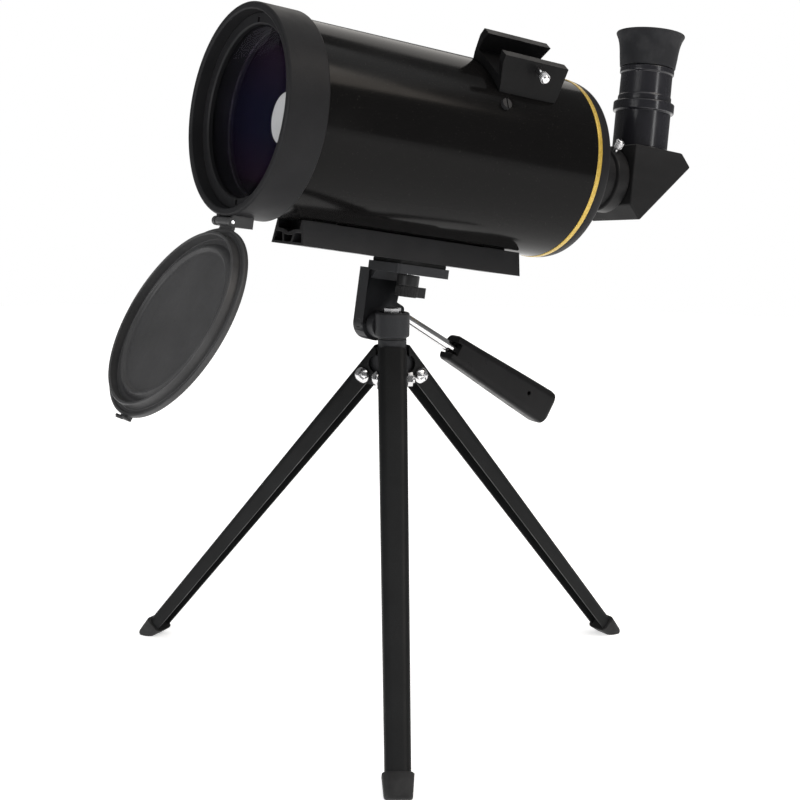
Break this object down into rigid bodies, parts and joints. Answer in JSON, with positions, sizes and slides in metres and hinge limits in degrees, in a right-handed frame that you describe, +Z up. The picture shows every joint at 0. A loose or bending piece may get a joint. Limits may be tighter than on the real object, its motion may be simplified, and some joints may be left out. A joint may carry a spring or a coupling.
{
  "type": "tabletop telescope on a folding mini tripod",
  "caption": "Short catadioptric telescope with star diagonal, eyepiece and hinged dust cap, on a folding mini tripod with a pan and tilt head.",
  "frame": {"origin": "on the ground, under the pan axis of the tripod", "axes": "+Z up along the pan axis; the telescope points to -Y with its front raised; +X is the side that carries the finder shoe"},
  "size_m": [0.3091, 0.3811, 0.3838],
  "materials": {
    "gloss_black_tube": "gloss black lacquer on aluminium",
    "satin_black_metal": "satin black anodised or painted metal",
    "charcoal_metal": "dark grey semi-matt painted metal",
    "gold_trim": "satin gold lacquer",
    "black_plastic": "fine-grained black plastic",
    "chrome_steel": "bright nickel or chrome plate",
    "bare_aluminium": "turned aluminium",
    "black_rubber": "matt black rubber",
    "coated_glass": "anti-reflection coated optical glass",
    "mirror_coat": "aluminised mirror coat",
    "brass_sleeve": "dark machined brass"
  },
  "bodies": {
    "tripod": {"hub": "charcoal_metal", "pan_washer": "black_plastic", "pan_bolt": "chrome_steel", "pivot_screws": "chrome_steel", "pivot_nuts": "chrome_steel"},
    "rear_leg": {"leg_rear": "charcoal_metal", "foot_rear": "black_rubber"},
    "left_leg": {"leg_left": "charcoal_metal", "foot_left": "black_rubber"},
    "right_leg": {"leg_right": "charcoal_metal", "foot_right": "black_rubber"},
    "pan": {"pan_head": "charcoal_metal", "tilt_axle": "chrome_steel", "tilt_washer": "black_plastic"},
    "scope": {"tilt_bracket": "charcoal_metal", "friction_screw": "satin_black_metal", "platform_pad": "black_rubber", "dovetail_bar": "satin_black_metal", "saddle_blocks": "satin_black_metal", "saddle_screws": "chrome_steel", "main_tube": "gloss_black_tube", "front_ring": "satin_black_metal", "lens_retainer": "charcoal_metal", "corrector_lens": "coated_glass", "secondary_spot": "mirror_coat", "secondary_baffle": "black_plastic", "accent_ring": "gold_trim", "rear_cell": "satin_black_metal", "primary_baffle": "satin_black_metal", "visual_back": "satin_black_metal", "finder_shoe": "satin_black_metal", "shoe_screws": "chrome_steel", "tube_screw": "satin_black_metal", "cap_hinge": "black_plastic", "hinge_pin": "chrome_steel", "primary_mirror": "mirror_coat", "mirror_carrier": "bare_aluminium", "focus_screw": "brass_sleeve"},
    "camera_screw": {"screw_stud": "chrome_steel", "screw_knob": "black_plastic"},
    "handle": {"handle_rod": "chrome_steel", "handle_grip": "black_plastic"},
    "cap": {"dust_cap": "black_plastic", "cap_latch": "black_plastic"},
    "knob": {"focus_knob": "black_plastic"},
    "diagonal": {"diagonal_housing": "black_plastic", "diagonal_mirror": "mirror_coat", "diagonal_nose": "chrome_steel", "eyepiece_holder": "satin_black_metal"},
    "eyepiece": {"eyepiece_barrel": "chrome_steel", "eyepiece_body": "satin_black_metal", "eyecup": "black_rubber", "eyepiece_lenses": "coated_glass"},
    "shoe_screw": {"shoe_thumbscrew": "chrome_steel"},
    "back_screw": {"back_thumbscrew": "chrome_steel"},
    "holder_screw": {"holder_thumbscrew": "chrome_steel"}
  },
  "joints": [
    {"name": "rear_leg_fold", "type": "hinge", "parent": "tripod", "child": "rear_leg", "pos_m": [0, 0.0145, 0.18], "axis": [-1, 0, 0], "range_deg": [0, 38]},
    {"name": "left_leg_fold", "type": "hinge", "parent": "tripod", "child": "left_leg", "pos_m": [-0.01256, -0.00725, 0.18], "axis": [0.5, -0.866, 0], "range_deg": [0, 38]},
    {"name": "right_leg_fold", "type": "hinge", "parent": "tripod", "child": "right_leg", "pos_m": [0.01244, -0.00745, 0.18], "axis": [0.5135, 0.8581, 0], "range_deg": [0, 38]},
    {"name": "pan_turn", "type": "hinge", "parent": "tripod", "child": "pan", "pos_m": [0, 0, 0.2093], "axis": [0, 0, 1], "continuous": true},
    {"name": "tilt", "type": "hinge", "parent": "pan", "child": "scope", "pos_m": [-0.0178, -0.0025, 0.2085], "axis": [1, 0, 0], "range_deg": [-22, 25]},
    {"name": "camera_screw_turn", "type": "hinge", "parent": "scope", "child": "camera_screw", "pos_m": [0, 0.00971, 0.231], "axis": [0, 0.1418, 0.9899], "range_deg": [0, 720]},
    {"name": "handle_twist", "type": "hinge", "parent": "scope", "child": "handle", "pos_m": [-0.0178, 0.01551, 0.21295], "axis": [0, 0.8634, -0.5045], "range_deg": [0, 180]},
    {"name": "cap_swing", "type": "hinge", "parent": "scope", "child": "cap", "pos_m": [0, -0.10607, 0.26899], "axis": [1, 0, 0], "range_deg": [-156.8, 0]},
    {"name": "focus_turn", "type": "hinge", "parent": "scope", "child": "knob", "pos_m": [-0.033, 0.11535, 0.2879], "axis": [0, 0.9899, -0.1418], "range_deg": [-1440, 1440]},
    {"name": "diagonal_turn", "type": "hinge", "parent": "scope", "child": "diagonal", "pos_m": [0, 0.14823, 0.29177], "axis": [0, 0.9899, -0.1418], "continuous": true},
    {"name": "eyepiece_slide", "type": "slide", "parent": "diagonal", "child": "eyepiece", "axis": [-0.0698, 0.1414, 0.9875], "range_m": [0, 0.03]},
    {"name": "shoe_screw_turn", "type": "hinge", "parent": "scope", "child": "shoe_screw", "pos_m": [0.05194, 0.06103, 0.34953], "axis": [0.829, -0.0793, -0.5535], "range_deg": [0, 720]},
    {"name": "back_screw_turn", "type": "hinge", "parent": "scope", "child": "back_screw", "pos_m": [0.01, 0.15306, 0.30858], "axis": [0.5, 0.1228, 0.8573], "range_deg": [0, 720]},
    {"name": "holder_screw_turn", "type": "hinge", "parent": "diagonal", "child": "holder_screw", "pos_m": [-0.01697, 0.19907, 0.32481], "axis": [-0.7054, 0.693, -0.1491], "range_deg": [0, 720]}
  ]
}
